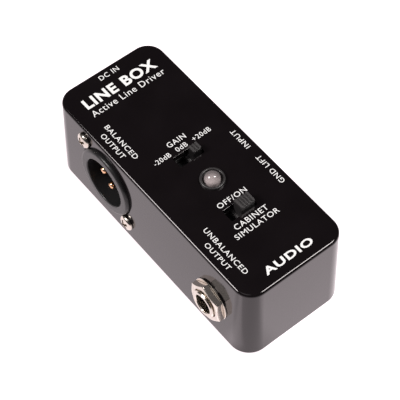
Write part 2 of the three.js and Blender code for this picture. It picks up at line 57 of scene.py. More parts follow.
class Flow:  # a socket that can be added, taken away and multiplied
    def __init__(self, finish, socket):
        self.finish = finish
        self.socket = socket

    def maths(self, operation, first, second):
        return self.finish.node("ShaderNodeMath", {"operation": operation}, {0: first, 1: second})

    def __add__(self, other):
        return self.maths("ADD", self, other)

    def __radd__(self, other):
        return self.maths("ADD", other, self)

    def __sub__(self, other):
        return self.maths("SUBTRACT", self, other)

    def __rsub__(self, other):
        return self.maths("SUBTRACT", other, self)

    def __mul__(self, other):
        return self.maths("MULTIPLY", self, other)

    def __rmul__(self, other):
        return self.maths("MULTIPLY", other, self)


class Finish:  # one material while it is being wired up
    def __init__(self, name):
        self.material = bpy.data.materials.new(name)
        self.material.use_nodes = True
        self.tree = self.material.node_tree
        self.shader = self.tree.nodes["Principled BSDF"]

    def feed(self, target, value):
        if isinstance(value, Flow):
            self.tree.links.new(value.socket, target)
        elif hasattr(value, "__len__") and len(value) == 3 and target.type == "RGBA":
            target.default_value = (*value, 1)
        else:
            target.default_value = value

    def node(self, kind, settings=None, inputs=None, output=0):
        made = self.tree.nodes.new(kind)
        for key, value in (settings or {}).items():
            if key == "stops":
                ramp = made.color_ramp.elements
                for spot, (place, shade) in enumerate(value):
                    stop = ramp[spot] if spot < 2 else ramp.new(place)
                    stop.position = place
                    stop.color = (shade, shade, shade, 1) if isinstance(shade, float) else (*shade, 1)
            else:
                setattr(made, key, value)
        for key, value in (inputs or {}).items():
            self.feed(made.inputs[key], value)
        return Flow(self, made.outputs[output])

    def place(self):  # where a point is on its piece
        return self.node("ShaderNodeTexCoord", output="Object")

    def stretched(self, scale, turn=(0, 0, 0)):
        inputs = {"Vector": self.place(), "Scale": scale, "Rotation": turn}
        return self.node("ShaderNodeMapping", {}, inputs)

    def noise(self, scale, detail=2.0, where=None):
        inputs = {"Vector": where or self.place(), "Scale": scale, "Detail": detail}
        return self.node("ShaderNodeTexNoise", {}, inputs)

    def ramp(self, value, *stops):
        return self.node("ShaderNodeValToRGB", {"stops": stops}, {0: value})

    def mix(self, amount, first, second):
        return self.node("ShaderNodeMix", {"data_type": "RGBA"}, {0: amount, 6: first, 7: second}, output=2)

    def bump(self, height, strength, distance):
        inputs = {"Height": height, "Strength": strength, "Distance": distance}
        return self.node("ShaderNodeBump", {}, inputs)

    def set(self, **values):
        for key, value in values.items():
            name = {"baseColor": "Base Color", "ior": "IOR", "coat": "Coat Weight",
                    "coatRoughness": "Coat Roughness", "glow": "Emission Color",
                    "glowStrength": "Emission Strength", "specular": "Specular IOR Level",
                    "specularTint": "Specular Tint"}.get(key, key.capitalize())
            self.feed(self.shader.inputs[name], value)
        return self.material


# materials

paintLook = {"black": (0.0050, 0.0036, 0.0042), "worn": (0.0066, 0.0049, 0.0057), "ior": 1.46,
             "orangePeel": 0.02}


def glossPaint():
    look = Finish("gloss black paint")
    cloud = look.noise(90, 4)
    speck = look.ramp(look.noise(2600, 1), (0.68, 0.0), (0.76, 1.0))
    shade = look.mix(look.ramp(cloud, (0.35, 0.0), (0.75, 1.0)), paintLook["black"], paintLook["worn"])
    shade = look.mix(speck * 0.12, shade, (0.03, 0.027, 0.03))
    peel = look.noise(700, 2)
    return look.set(
        baseColor=shade,
        roughness=0.07 + cloud * 0.03,
        ior=paintLook["ior"],
        specularTint=(1.0, 0.95, 0.965),
        normal=look.bump(peel, paintLook["orangePeel"], 0.05 * mm),
    )


def satinPaint():
    look = Finish("satin plate paint")
    grain = look.noise(1500, 3)
    return look.set(
        baseColor=look.mix(grain, (0.012, 0.012, 0.013), (0.026, 0.025, 0.026)),
        roughness=0.34 + grain * 0.16,
        normal=look.bump(grain, 0.25, 0.08 * mm),
    )


def moulded(name, dark, light, roughness, grainScale=2400, grainDepth=0.15, specular=0.5):
    look = Finish(name)
    grain = look.noise(grainScale, 2)
    cloud = look.noise(160, 3)
    return look.set(
        baseColor=look.mix(cloud, dark, light),
        roughness=roughness - 0.05 + cloud * 0.1,
        specular=specular,
        normal=look.bump(grain, grainDepth, 0.03 * mm),
    )


def plated(name, pale, deep, roughness, brushed=0.0):
    look = Finish(name)
    cloud = look.noise(420, 4)
    line = look.noise(900, 2, look.stretched((1, 1, 14)))
    return look.set(
        baseColor=look.mix(look.ramp(cloud, (0.3, 0.0), (0.8, 1.0)), pale, deep),
        metallic=1.0,
        roughness=roughness + cloud * 0.08,
        normal=look.bump(line, 0.02 + brushed, 0.02 * mm),
    )


lensLook = {"deep": (0.14, 0.121, 0.124), "pale": (0.60, 0.51, 0.51), "front": (-0.62, -0.78, 0)}


def milkyLens():
    look = Finish("milky lens")
    low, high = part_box("led_lens")
    middle = (low + high) / 2
    off = look.node("ShaderNodeVectorMath", {"operation": "SUBTRACT"}, {0: look.place(), 1: middle})
    flat = look.node("ShaderNodeVectorMath", {"operation": "MULTIPLY"}, {0: off, 1: (1, 1, 0)})
    reach = look.node("ShaderNodeVectorMath", {"operation": "LENGTH"}, {0: flat}, output="Value")
    # painted light: the lens colour is paler towards its rim
    rim = look.node("ShaderNodeMapRange", {"interpolation_type": "SMOOTHSTEP"},
                    {"Value": reach, "From Min": 1.5 * mm, "From Max": 2.5 * mm})
    # painted light: the lens colour is paler on the side that faces the camera
    ahead = look.node("ShaderNodeVectorMath", {"operation": "DOT_PRODUCT"}, {0: off, 1: lensLook["front"]},
                      output="Value")
    near = look.node("ShaderNodeMapRange", {},
                     {"Value": ahead, "From Min": -0.4 * mm, "From Max": 2.5 * mm})
    cloud = look.noise(700, 2)
    amount = rim * 0.3 + near * 0.75 + cloud * 0.12
    return look.set(
        baseColor=look.mix(amount, lensLook["deep"], lensLook["pale"]),
        roughness=0.15 + cloud * 0.04,
        coat=0.5,
        coatRoughness=0.12,
        ior=1.5,
    )


def circuitBoard():
    look = Finish("circuit board")
    weave = look.node("ShaderNodeTexBrick", {}, {"Vector": look.place(), "Scale": 900.0})
    tracks = look.ramp(look.node("ShaderNodeTexVoronoi", {"feature": "DISTANCE_TO_EDGE"},
                                 {"Vector": look.place(), "Scale": 260.0}), (0.06, 1.0), (0.09, 0.0))
    green = look.mix(weave, (0.012, 0.075, 0.028), (0.016, 0.09, 0.034))
    return look.set(
        baseColor=look.mix(tracks, green, (0.03, 0.15, 0.06)),
        roughness=0.36 + tracks * 0.1,
        normal=look.bump(tracks, 0.3, 0.04 * mm),
    )


def legendInk():
    look = Finish("legend ink")
    grain = look.noise(1800, 3)
    return look.set(
        baseColor=look.mix(grain, (0.80, 0.79, 0.79), (0.90, 0.90, 0.90)),
        roughness=0.42 + grain * 0.1,
    )


finishes = {
    "gloss_paint": glossPaint(),
    "plate_paint": satinPaint(),
    "control_plastic": moulded("control plastic", (0.021, 0.019, 0.020), (0.034, 0.031, 0.032), 0.36),
    "connector_plastic": moulded("connector plastic", (0.012, 0.012, 0.013), (0.022, 0.021, 0.022), 0.3,
                                 specular=0.34),
    "nickel": plated("nickel plate", (0.80, 0.74, 0.67), (0.66, 0.60, 0.53), 0.14),
    "gold_plate": plated("gold flash", (0.93, 0.58, 0.36), (0.76, 0.43, 0.24), 0.16),
    "steel": plated("zinc plated steel", (0.55, 0.55, 0.57), (0.42, 0.42, 0.44), 0.3, 0.1),
    "milky_lens": milkyLens(),
    "circuit_board": circuitBoard(),
    "capacitor_sleeve": moulded("capacitor sleeve", (0.012, 0.03, 0.12), (0.02, 0.045, 0.17), 0.3),
    "film_coat": moulded("film capacitor coat", (0.25, 0.02, 0.02), (0.34, 0.035, 0.03), 0.28, 900, 0.3),
    "wire_jacket": moulded("wire jacket", (0.4, 0.39, 0.36), (0.5, 0.49, 0.46), 0.5),
    "legend_ink": legendInk(),
}

leverLook = {  # painted light: the ribs are paler than the sides as if lit from above, and the shoe that slides inside is paler to lighten the shaded slot
    "ribs": ((0.040, 0.037, 0.038), (0.062, 0.058, 0.059)),
    # painted shade: the gain lever's sides are darker than the cabinet lever's, as if more in shade
    "sides": {"gain": (0.012, 0.011, 0.0115), "cabinet": (0.026, 0.024, 0.025)},
    "shoe": (0.10, 0.094, 0.096),
}


def leverPlastic(name):
    look = Finish(f"{name} lever plastic")
    low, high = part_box(f"{name}_lever")
    grain = look.noise(2400, 2)
    cloud = look.noise(160, 3)
    height = look.node("ShaderNodeSeparateXYZ", {}, {0: look.place()}, output="Z")
    # painted light: the top millimetre of the lever blends from the side colour to the paler rib colour
    worn = look.node("ShaderNodeMapRange", {}, {"Value": height, "From Min": high.z - 1.1 * mm,
                                                "From Max": high.z - 0.4 * mm})
    # painted light: the shoe below the slot takes the paler shoe colour
    inside = look.node("ShaderNodeMapRange", {}, {"Value": height, "From Min": low.z + 2.1 * mm,
                                                  "From Max": low.z + 2.0 * mm})
    shade = look.mix(worn, leverLook["sides"][name], look.mix(cloud, *leverLook["ribs"]))
    return look.set(
        baseColor=look.mix(inside, shade, leverLook["shoe"]),
        roughness=0.35 + cloud * 0.1,
        normal=look.bump(grain, 0.15, 0.03 * mm),
    )


leverFinish = {name: leverPlastic(name) for name in leverLook["sides"]}
switchFinish = plated("dull zinc", (0.32, 0.31, 0.31), (0.2, 0.2, 0.2), 0.5, 0.2)

for entry in frame["record"]["subparts"]:
    node = frame["nodes"][entry["node"]]
    node.data.materials.clear()
    node.data.materials.append(finishes[entry["material_slot"]])
for name in ("gain_switch_frame", "cabinet_switch_frame"):
    frame["nodes"][name].data.materials[0] = switchFinish
print("finishes made,", len(finishes))


# camera, floor and lights

cameraSet = {"azimuth": -37.98, "elevation": 56.62, "roll": -0.83, "distance": 453.8 * mm,
             "lens": 135.3, "right": 0.87 * mm, "up": -1.97 * mm}


def placeCamera():
    azimuth = math.radians(cameraSet["azimuth"])
    elevation = math.radians(cameraSet["elevation"])
    roll = math.radians(cameraSet["roll"])
    back = Vector((math.sin(azimuth) * math.cos(elevation), -math.cos(azimuth) * math.cos(elevation),
                   math.sin(elevation)))
    level = Vector((math.cos(azimuth), math.sin(azimuth), 0))
    rise = back.cross(level)
    right = level * math.cos(roll) + rise * math.sin(roll)
    up = rise * math.cos(roll) - level * math.sin(roll)
    middle = Vector((0, 0, topZ / 2))
    eye = middle + back * cameraSet["distance"] + right * cameraSet["right"] + up * cameraSet["up"]
    bpy.ops.object.camera_add(location=eye)
    camera = bpy.context.object
    camera.matrix_world = Matrix.Translation(eye) @ Matrix((right, up, back)).transposed().to_4x4()
    camera.data.lens = cameraSet["lens"]
    camera.data.sensor_width = 36
    camera.data.clip_start = 0.01
    bpy.context.scene.camera = camera


# painted light: the floor glows brighter near the box than far off, with brighter patches in front and at
# the front corner that the glossy walls reflect
floorSet = {"size": 6.0, "near": (1.12, 1.0, 1.04), "far": (0.46, 0.45, 0.455), "fade": (0.1, 0.26),
            "paintedFrontGlow": 0.45, "paintedCornerGlow": 0.42}


def layFloor():
    bpy.ops.object.select_all(action="DESELECT")
    bpy.ops.mesh.primitive_plane_add(size=floorSet["size"])
    floor = bpy.context.object
    floor.name = "floor"
    look = Finish("pale floor")

    def step(value, start, end):  # from 0 to 1 between two places, in millimetres
        return look.node("ShaderNodeMapRange", {"interpolation_type": "SMOOTHSTEP"},
                         {"Value": value, "From Min": start * mm, "From Max": end * mm})
    reach = look.node("ShaderNodeVectorMath", {"operation": "LENGTH"}, {0: look.place()}, output="Value")
    inner, outer = floorSet["fade"]
    fade = look.node("ShaderNodeMapRange", {}, {"Value": reach, "From Min": inner, "From Max": outer})
    alongX = look.node("ShaderNodeSeparateXYZ", {}, {0: look.place()}, output="X")
    alongY = look.node("ShaderNodeSeparateXYZ", {}, {0: look.place()}, output="Y")
    # painted light: brighter patches of floor glow in front and at the front corner
    front = step(alongX, -15, -5)
    corner = step(alongY, -47, -43) * (1 - step(alongY, -41, -34)) * (1 - step(alongX, -22, -18))
    paintedPoolBoost = 1 + front * floorSet["paintedFrontGlow"] + corner * floorSet["paintedCornerGlow"]
    near = look.node("ShaderNodeVectorMath", {"operation": "SCALE"}, {0: floorSet["near"], "Scale": paintedPoolBoost})
    look.set(baseColor=(0.06, 0.06, 0.06), roughness=0.9, glowStrength=1.0,
             glow=look.mix(fade, near, floorSet["far"]), specular=0.0)
    floor.data.materials.append(look.material)


# each light: the way it lies from the box, how far off, how big, how strong and its tint
lightSet = [
    {"toward": (-0.645, 0.345, 0.682), "reach": 1.1, "size": 0.42, "power": 10, "tint": (1, 0.97, 0.95)},
    {"toward": (0.388, -0.303, 0.870), "reach": 1.1, "size": 0.36, "power": 8.5, "tint": (1, 0.98, 0.95)},
    {"toward": (-0.36, -0.10, 0.93), "reach": 1.0, "size": 0.5, "power": 0.5, "tint": (1, 0.96, 0.97)},
]


def hangLights():
    for spec in lightSet:
        way = Vector(spec["toward"]).normalized()
        bpy.ops.object.light_add(type="AREA", location=way * spec["reach"])
        lamp = bpy.context.object
        lamp.data.shape = "DISK"
        lamp.data.size = spec["size"]
        lamp.data.energy = spec["power"]
        lamp.data.color = spec["tint"]
        lamp.rotation_euler = way.to_track_quat("Z", "Y").to_euler()
    world = bpy.data.worlds.new("studio")
    bpy.context.scene.world = world
    world.use_nodes = True
    world.node_tree.nodes["Background"].inputs["Color"].default_value = (0.03, 0.03, 0.031, 1)
    world.node_tree.nodes["Background"].inputs["Strength"].default_value = 1.0
    bpy.context.scene.view_settings.view_transform = "Standard"
    bpy.context.scene.view_settings.look = "None"


placeCamera()
layFloor()
hangLights()
print("camera, floor and lights placed")

# modelling helpers

allMade = []


def toEdit(mode="VERT", pick="DESELECT"):
    bpy.ops.object.mode_set(mode="EDIT")
    bpy.ops.mesh.select_mode(type=mode)
    bpy.ops.mesh.select_all(action=pick)


def toObject():
    bpy.ops.object.mode_set(mode="OBJECT")


def onlyThis(piece):
    bpy.ops.object.select_all(action="DESELECT")
    piece.select_set(True)
    bpy.context.view_layer.objects.active = piece


def fixPlace(piece):
    onlyThis(piece)
    bpy.ops.object.transform_apply(location=True, rotation=True, scale=True)


def pickFaces(piece, wanted):  # into edit mode with the wanted faces selected
    toEdit("FACE")
    toObject()
    for face in piece.data.polygons:
        face.select = wanted(face)
    bpy.ops.object.mode_set(mode="EDIT")


def pickEdges(piece, wanted):  # the same for edges, told by their two ends
    toEdit("EDGE")
    toObject()
    spots = [vertex.co for vertex in piece.data.vertices]
    for edge in piece.data.edges:
        edge.select = wanted(spots[edge.vertices[0]], spots[edge.vertices[1]])
    bpy.ops.object.mode_set(mode="EDIT")


def block(name, low, high):
    bpy.ops.object.select_all(action="DESELECT")
    bpy.ops.mesh.primitive_cube_add(size=1, location=(Vector(low) + Vector(high)) / 2)
    piece = bpy.context.object
    piece.name = name
    piece.scale = Vector(high) - Vector(low)
    fixPlace(piece)
    return piece


def turned(name, profile, segments=64):
    # (radius, height) pairs from one end to the other: a pair on the axis closes that end,
    # and a last pair that repeats the first closes a ring
    bpy.ops.object.select_all(action="DESELECT")
    rings = list(profile)
    onAxis = rings[0][0] == 0
    radius, height = rings[1] if onAxis else rings[0]
    bpy.ops.mesh.primitive_circle_add(vertices=segments, radius=radius, location=(0, 0, height),
                                      fill_type="TRIFAN" if onAxis else "NOTHING")
    piece = bpy.context.object
    piece.name = name
    fixPlace(piece)
    toEdit("EDGE", "SELECT")
    if onAxis:
        bpy.ops.mesh.region_to_loop()
    for wide, high in rings[2 if onAxis else 1:]:
        bpy.ops.mesh.extrude_region_move(TRANSFORM_OT_translate={"value": (0, 0, high - height)})
        if wide == 0:
            bpy.ops.mesh.merge(type="CENTER")
        elif wide != radius:
            ratio = wide / radius
            bpy.ops.transform.resize(value=(ratio, ratio, 1), center_override=(0, 0, high))
        radius, height = wide, high
    toEdit("VERT", "SELECT")
    bpy.ops.mesh.remove_doubles(threshold=0.002 * mm)
    bpy.ops.mesh.normals_make_consistent(inside=False)
    toObject()
    return piece


def arc(centre, height, radius, start, stop, steps=6):  # part of a circle in a profile, in degrees
    turns = [math.radians(start + (stop - start) * step / steps) for step in range(steps + 1)]
    return [(max(centre + radius * math.cos(t), 0), height + radius * math.sin(t)) for t in turns]


def cutBy(piece, cutter, operation="DIFFERENCE"):
    onlyThis(piece)
    change = piece.modifiers.new("cut", "BOOLEAN")
    change.operation = operation
    change.solver = "EXACT"
    change.object = cutter
    bpy.ops.object.modifier_apply(modifier=change.name)
    bpy.data.objects.remove(cutter)


def softEdges(piece, width, angle=35, segments=2):
    onlyThis(piece)
    change = piece.modifiers.new("soft", "BEVEL")
    change.width = width
    change.segments = segments
    change.limit_method = "ANGLE"
    change.angle_limit = math.radians(angle)
    change.use_clamp_overlap = True
    bpy.ops.object.modifier_apply(modifier=change.name)


def smooth(piece, angle=32, weighted=True):
    onlyThis(piece)
    bpy.ops.object.shade_smooth_by_angle(angle=math.radians(angle))
    if weighted:
        change = piece.modifiers.new("even", "WEIGHTED_NORMAL")
        change.keep_sharp = True
        change.weight = 80
        bpy.ops.object.modifier_apply(modifier=change.name)


def moved(piece, where):
    piece.matrix_world = where @ piece.matrix_world
    fixPlace(piece)
    return piece


def hand(piece, body, slotName, *stands, finish=None):  # dress a finished piece and join it to the frame
    fixPlace(piece)
    piece.data.materials.clear()
    piece.data.materials.append(finish or finishes[slotName])
    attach(piece, body)
    if stands:
        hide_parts(*stands)
    allMade.append(piece.name)
    return piece


# where things are on the walls

boxSet = {"fillet": 0.95 * mm, "foot": 0.35 * mm, "wall": 2 * mm, "lip": 1 * mm, "plate": 1.5 * mm,
          "cornerTop": 5.9 * mm}
lean = math.tan(draft)


def halfWidth(z):
    return shellHigh.x + (boxSet["foot"] - z) * lean


def halfLength(z):
    return shellHigh.y + (boxSet["foot"] - z) * lean


def cornerRadius(z):
    return boxSet["cornerTop"] + (topZ - z) * lean


def middleOf(node):
    low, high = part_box(node)
    return (low + high) / 2


def wallFrame(side, y, z):  # +Z leaves the side wall, +Y runs up it, and the wall's face is the origin
    out = Vector((side * math.cos(draft), 0, math.sin(draft)))
    up = Vector((-side * math.sin(draft), 0, math.cos(draft)))
    across = up.cross(out)
    turn = Matrix((across, up, out)).transposed().to_4x4()
    return Matrix.Translation((side * halfWidth(z), y, z)) @ turn


def levelFrame(out, place):
    out = Vector(out)
    up = Vector((0, 0, 1))
    return Matrix.Translation(place) @ Matrix((up.cross(out), up, out)).transposed().to_4x4()


def onAxisOf(node, side):  # the wall frame under the middle of a piece that stands square on the wall
    middle = middleOf(node)
    z = middle.z
    for _ in range(3):  # follow the wall's normal back down to its face
        z = middle.z - (abs(middle.x) - halfWidth(z)) * math.sin(draft)
    return wallFrame(side, middle.y, z)


# the shell and its plate

def draftedBlock(name, inset, low, high, fillet=0.0, foot=0.0):
    # a rounded plate raised with an inset, so that every wall and corner leans by the draft
    halfX, halfY = halfWidth(low) - inset, halfLength(low) - inset
    bpy.ops.object.select_all(action="DESELECT")
    bpy.ops.mesh.primitive_plane_add(size=2, location=(0, 0, low))
    piece = bpy.context.object
    piece.name = name
    piece.scale = (halfX, halfY, 1)
    fixPlace(piece)
    toEdit("VERT", "SELECT")
    bpy.ops.mesh.bevel(affect="VERTICES", offset=cornerRadius(low) - inset, segments=18, profile=0.5)
    toObject()
    pickFaces(piece, lambda face: len(face.vertices) > 4)
    bpy.ops.mesh.inset(thickness=(high - low) * lean, depth=high - low)
    toEdit("EDGE")
    bpy.ops.mesh.select_non_manifold(extend=False, use_wire=False, use_boundary=True)
    bpy.ops.mesh.edge_face_add()
    toObject()
    for size, level in ((fillet, high), (foot, low)):
        if size:
            pickEdges(piece, lambda a, b: abs(a.z - level) < 1e-6 and abs(b.z - level) < 1e-6)
            bpy.ops.mesh.bevel(offset_type="OFFSET", offset=size, segments=8, profile=0.5)
            toObject()
    toEdit("VERT", "SELECT")
    bpy.ops.mesh.normals_make_consistent(inside=False)
    toObject()
    return piece


postSet = {"radius": 3.4 * mm, "hole": 1.55 * mm, "deep": 11 * mm}
holeSet = {"gap": 0.25 * mm, "edge": 0.15 * mm}
screwPlaces = [middleOf(f"bottom_screw_{number}") for number in (1, 2, 3, 4)]


def roundCutter(radius, bottom, face, edge):  # a drill with a small countersink where it meets the face
    outline = [(0, bottom), (radius, bottom), (radius, face - edge), (radius + 2 * edge, face + edge),
               (radius + 2 * edge, face + 3 * mm), (0, face + 3 * mm)]
    return turned("drill", outline, 72)


switchSet = {
    "gain": {"slot": (8.9 * mm, 4.0 * mm), "lever": (2.9 * mm, 2.6 * mm), "grooves": 2},
    "cabinet": {"slot": (9.4 * mm, 4.35 * mm), "lever": (4.9 * mm, 3.6 * mm), "grooves": 4},
}
lampMiddle = middleOf("led_lens")
xlrFrame = onAxisOf("xlr_insert", -1)
jackFrames = {"output": onAxisOf("output_jack_bushing", -1), "input": onAxisOf("input_jack_bushing", 1)}
liftMiddle = middleOf("ground_lift_button")
liftFrame = levelFrame((1, 0, 0), (halfWidth(liftMiddle.z), liftMiddle.y, liftMiddle.z))
supplyMiddle = middleOf("dc_jack_pin")
supplyFrame = levelFrame((0, 1, 0), (supplyMiddle.x, halfLength(supplyMiddle.z), supplyMiddle.z))
xlrSet = {"ring": 11.6 * mm, "bore": 8.4 * mm, "proud": 1.25 * mm, "pitch": 3.81 * mm, "screw": 10.2 * mm}
xlrScrewSet = {"head": 2.65 * mm, "top": 1.7 * mm, "rim": 0.5 * mm, "cross": (1.6 * mm, 0.42 * mm)}
jackSet = {"bore": 3.2 * mm, "thread": 4.6 * mm, "proud": 3.6 * mm, "washer": 0.55 * mm, "nut": 2.8 * mm,
           "flats": 12 * mm, "turn": 10}
lampSet = {"lens": 2.5 * mm, "flange": 3.9 * mm}


def castShell():
    shell = draftedBlock("enclosure_shell", 0, 0, topZ, boxSet["fillet"], boxSet["foot"])
    cavity = draftedBlock("cavity", boxSet["wall"], -1 * mm, topZ - boxSet["wall"])
    for middle in screwPlaces:
        post = turned("post", [(0, boxSet["plate"]), (postSet["radius"], boxSet["plate"]),
                               (postSet["radius"], topZ), (0, topZ)], 32)
        cutBy(cavity, moved(post, Matrix.Translation((middle.x, middle.y, 0))))
    cutBy(shell, cavity)
    cutBy(shell, draftedBlock("rebate", boxSet["lip"], -1 * mm, boxSet["plate"]))
    for middle in screwPlaces:
        drill = turned("drill", [(0, -1 * mm), (postSet["hole"], -1 * mm),
                                 (postSet["hole"], postSet["deep"]), (0, postSet["deep"])], 24)
        cutBy(shell, moved(drill, Matrix.Translation((middle.x, middle.y, 0))))
    gap, edge = holeSet["gap"], holeSet["edge"]
    deep = -2 * boxSet["wall"]
    cutBy(shell, moved(roundCutter(xlrSet["ring"] + gap, deep, 0, 0.05 * mm), xlrFrame))
    for sign in (-1, 1):
        where = xlrFrame @ Matrix.Translation((sign * xlrSet["screw"], -sign * xlrSet["screw"], 0))
        cutBy(shell, moved(roundCutter(1.65 * mm, deep, 0, 0.05 * mm), where))
    for where in jackFrames.values():
        cutBy(shell, moved(roundCutter(jackSet["thread"] + gap, deep, 0, edge), where))
    cutBy(shell, moved(roundCutter(2.75 * mm, deep, 0, edge), liftFrame))
    cutBy(shell, moved(roundCutter(5.25 * mm, deep, 0, edge), supplyFrame))
    lampFrame = Matrix.Translation((lampMiddle.x, lampMiddle.y, topZ))
    cutBy(shell, moved(roundCutter(lampSet["lens"] + 0.75 * mm, deep, 0, edge), lampFrame))
    for name, spec in switchSet.items():
        middle = middleOf(f"{name}_switch_frame")
        long, wide = spec["slot"]
        cutter = block("slot", (-long / 2, middle.y - wide / 2, topZ - 3 * mm),
                       (long / 2, middle.y + wide / 2, topZ + 3 * mm))
        softEdges(cutter, 0.4 * mm, 35, 4)
        cutBy(shell, cutter)
        reachX, reachY = long / 2 + 0.2 * mm, wide / 2 + 0.2 * mm
        inSlot = lambda p: abs(p.z - topZ) < 1e-6 and abs(p.x) < reachX and abs(p.y - middle.y) < reachY
        pickEdges(shell, lambda a, b: inSlot(a) and inSlot(b))
        bpy.ops.mesh.bevel(offset=0.22 * mm, segments=2, profile=0.5)
        toObject()
    smooth(shell, 30)
    hand(shell, "box", "gloss_paint", "enclosure")


def closePlate():
    inset = boxSet["lip"] + 0.15 * mm
    plate = draftedBlock("plate", inset, 0, boxSet["plate"])
    sink = [(0, -0.5), (3.3, -0.5), (3.3, 0), (1.75, 1.55), (1.75, 2), (0, 2)]
    for middle in screwPlaces:
        drill = turned("sink", [(radius * mm, height * mm) for radius, height in sink], 48)
        cutBy(plate, moved(drill, Matrix.Translation((middle.x, middle.y, 0))))
    plate.name = "bottom_cover"
    softEdges(plate, 0.12 * mm, 40, 2)
    smooth(plate)
    hand(plate, "box", "plate_paint", "bottom_plate")
    outline = [(0, 0.1), (2.75, 0.1), (2.9, 0.2), (1.35, 1.65), (1.35, 8.5), (0.7, 9.3), (0, 9.3)]
    for number, middle in enumerate(screwPlaces, 1):
        profile = [(radius * mm, height * mm) for radius, height in outline]
        screw = turned(f"cover_screw_{number}", profile, 40)
        for long, wide in ((1.5 * mm, 0.3 * mm), (0.3 * mm, 1.5 * mm)):
            cutBy(screw, block("cross", (-long, -wide, -1 * mm), (long, wide, 0.9 * mm)))
        moved(screw, Matrix.Translation((middle.x, middle.y, 0)) @ Matrix.Rotation(number * 0.7, 4, "Z"))
        smooth(screw)
        hand(screw, "box", "steel", f"bottom_screw_{number}")


# controls on top

leverSet = {"rib": 0.5 * mm, "groove": 0.58, "soft": 0.11 * mm}  # a groove is this much of the pitch


def slideLever(name, spec):
    low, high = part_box(f"{name}_lever")
    middle = (low + high) / 2
    long, wide = spec["lever"]
    roof = high.z - leverSet["rib"]
    lever = block(f"{name}_slide_lever", (middle.x - long / 2, middle.y - wide / 2, low.z + 1 * mm),
                  (middle.x + long / 2, middle.y + wide / 2, roof))
    pitch = long / (spec["grooves"] + 1)
    cuts = [middle.x - long / 2 + pitch * (number + 1 + side * leverSet["groove"] / 2)
            for number in range(spec["grooves"]) for side in (-1, 1)]
    for cut in cuts:
        toEdit("FACE", "SELECT")
        bpy.ops.mesh.bisect(plane_co=(cut, 0, 0), plane_no=(1, 0, 0))
        toObject()

    def isRib(face):  # a groove's middle is a whole number of pitches along
        along = (face.center.x - middle.x + long / 2) / pitch
        return abs(face.center.z - roof) < 1e-6 and abs(along - round(along)) > 0.1

    pickFaces(lever, isRib)
    bpy.ops.mesh.extrude_region_move(TRANSFORM_OT_translate={"value": (0, 0, leverSet["rib"])})
    toObject()
    shoe = block("shoe", (low.x, low.y, low.z), (high.x, high.y, low.z + 1.9 * mm))
    cutBy(lever, shoe, "UNION")
    softEdges(lever, leverSet["soft"], 40, 2)
    smooth(lever)
    hand(lever, f"{name}_lever", "control_plastic", f"{name}_lever", finish=leverFinish[name])


def lamp():
    lens, flange = lampSet["lens"], lampSet["flange"]
    inner, outer = lens + 0.2 * mm, lens + 0.6 * mm
    under = topZ - boxSet["wall"] - 1.4 * mm
    profile = [(inner, under), (outer, under), (outer, topZ + 0.01 * mm), (flange, topZ + 0.01 * mm)]
    profile += arc(flange - 0.4 * mm, topZ + 0.5 * mm, 0.4 * mm, 0, 90)
    profile += arc(outer + 0.3 * mm, topZ + 0.6 * mm, 0.3 * mm, 90, 180)
    profile += [(outer, topZ + 0.1 * mm), (inner, topZ - 0.2 * mm), (inner, under)]
    bezel = moved(turned("lamp_bezel", profile, 96), Matrix.Translation((lampMiddle.x, lampMiddle.y, 0)))
    smooth(bezel, 40)
    hand(bezel, "box", "control_plastic", "led_bezel")
    low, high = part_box("led_lens")
    collar = lens + 0.4 * mm
    profile = [(0, low.z), (collar, low.z), (collar, low.z + 1 * mm), (lens, low.z + 1 * mm)]
    profile += arc(0, high.z - lens, lens, 0, 90, 16)
    glass = moved(turned("lamp_lens", profile, 72), Matrix.Translation((lampMiddle.x, lampMiddle.y, 0)))
    smooth(glass, 40)
    hand(glass, "box", "milky_lens", "led_lens")


# the balanced output

